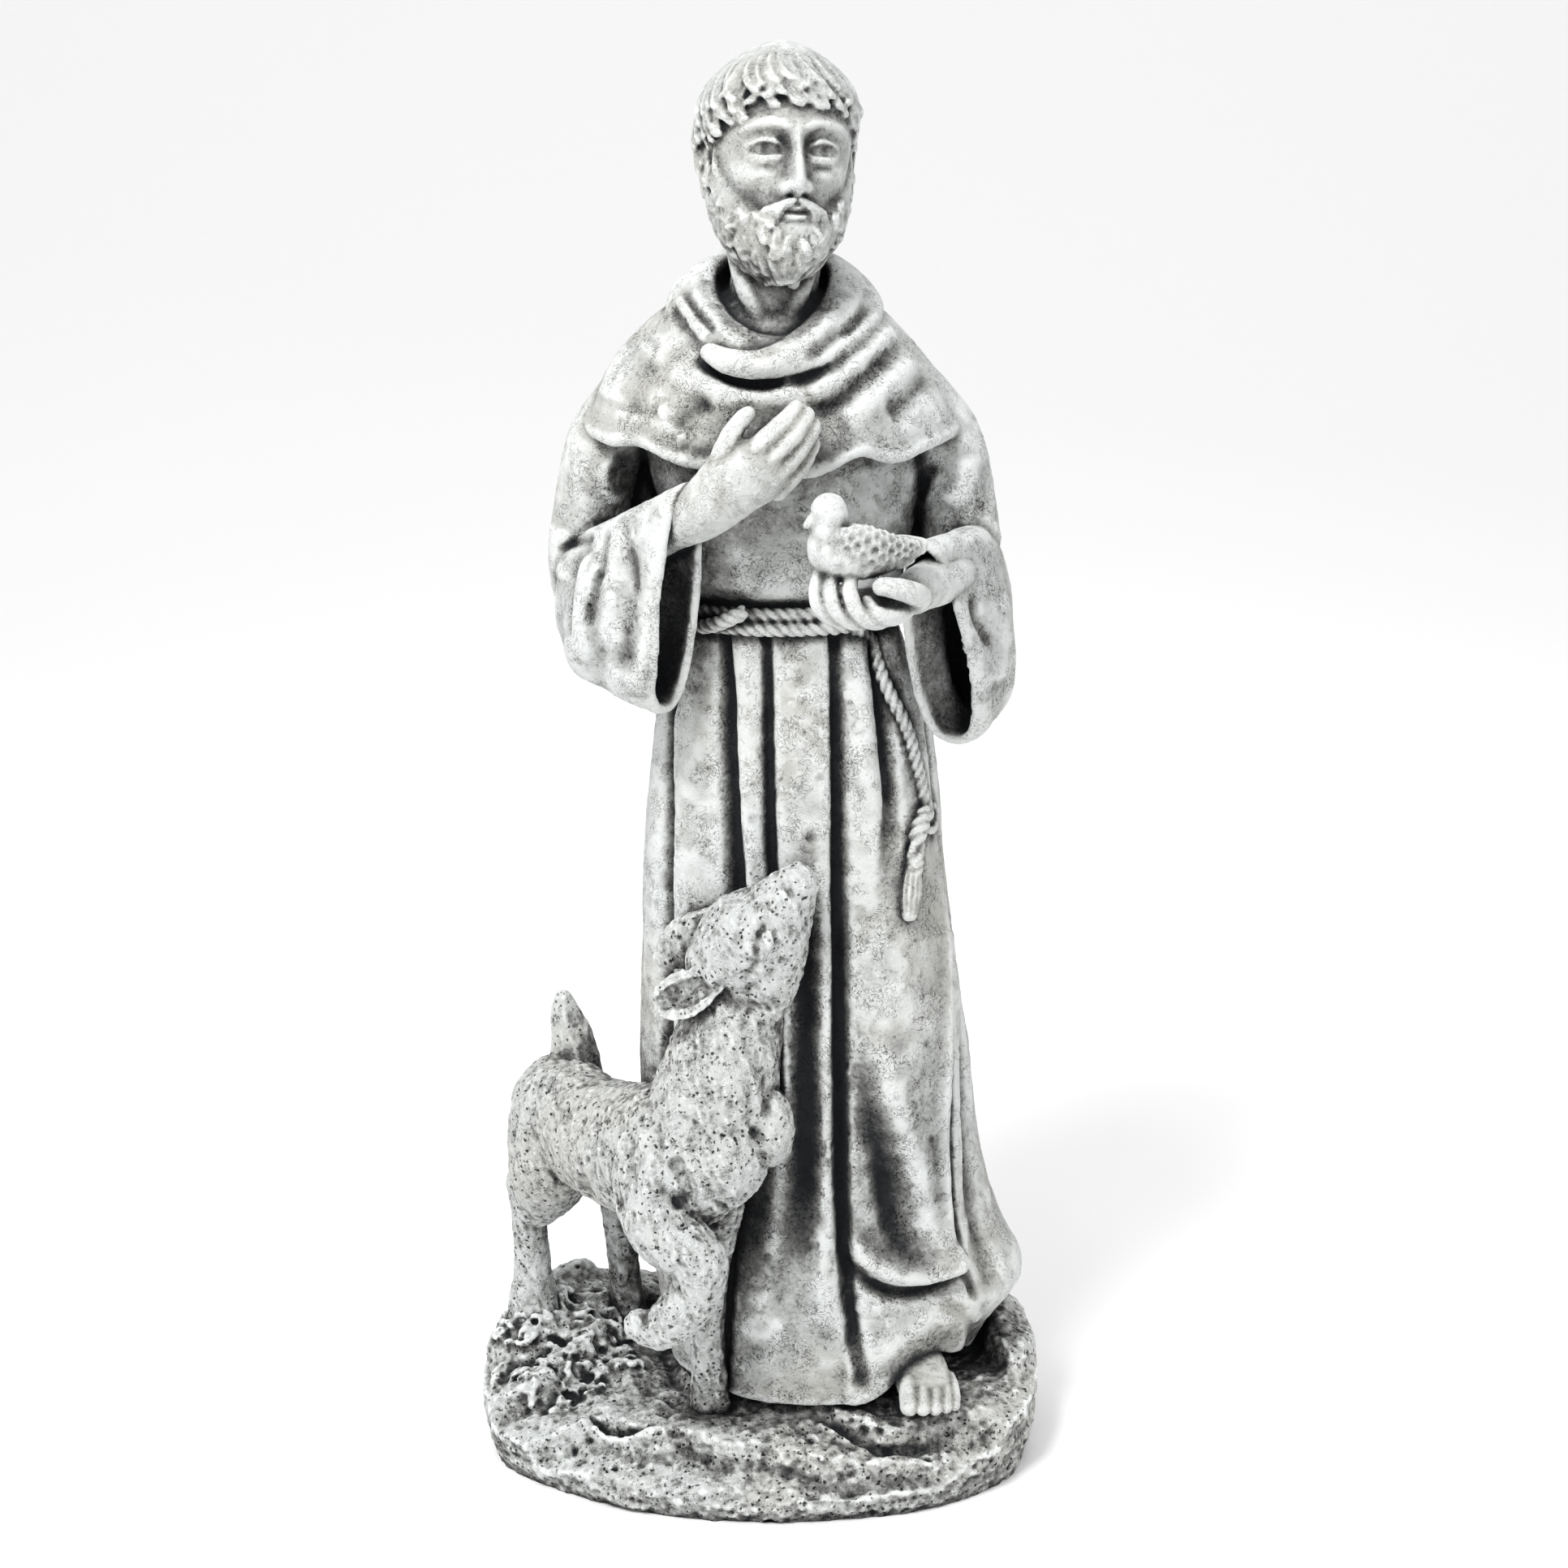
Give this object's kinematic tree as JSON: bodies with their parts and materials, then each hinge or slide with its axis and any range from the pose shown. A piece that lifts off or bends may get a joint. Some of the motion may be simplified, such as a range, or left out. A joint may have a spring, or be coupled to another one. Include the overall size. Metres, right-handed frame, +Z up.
{
  "type": "saint statue",
  "caption": "Garden statue of a robed, bearded saint with a bird in one hand and a fawn at the knee, cast in one piece with its rock base.",
  "frame": {"origin": "middle of the flat underside of the rock base", "axes": "+Z up, the saint faces -Y, +X to the viewer's right"},
  "size_m": [0.2819, 0.2075, 0.6897],
  "materials": {
    "cast_stone": "matte cast stone, pale grey with a dark wash in the hollows"
  },
  "bodies": {
    "root": {"saint_statue": "cast_stone"}
  },
  "joints": []
}
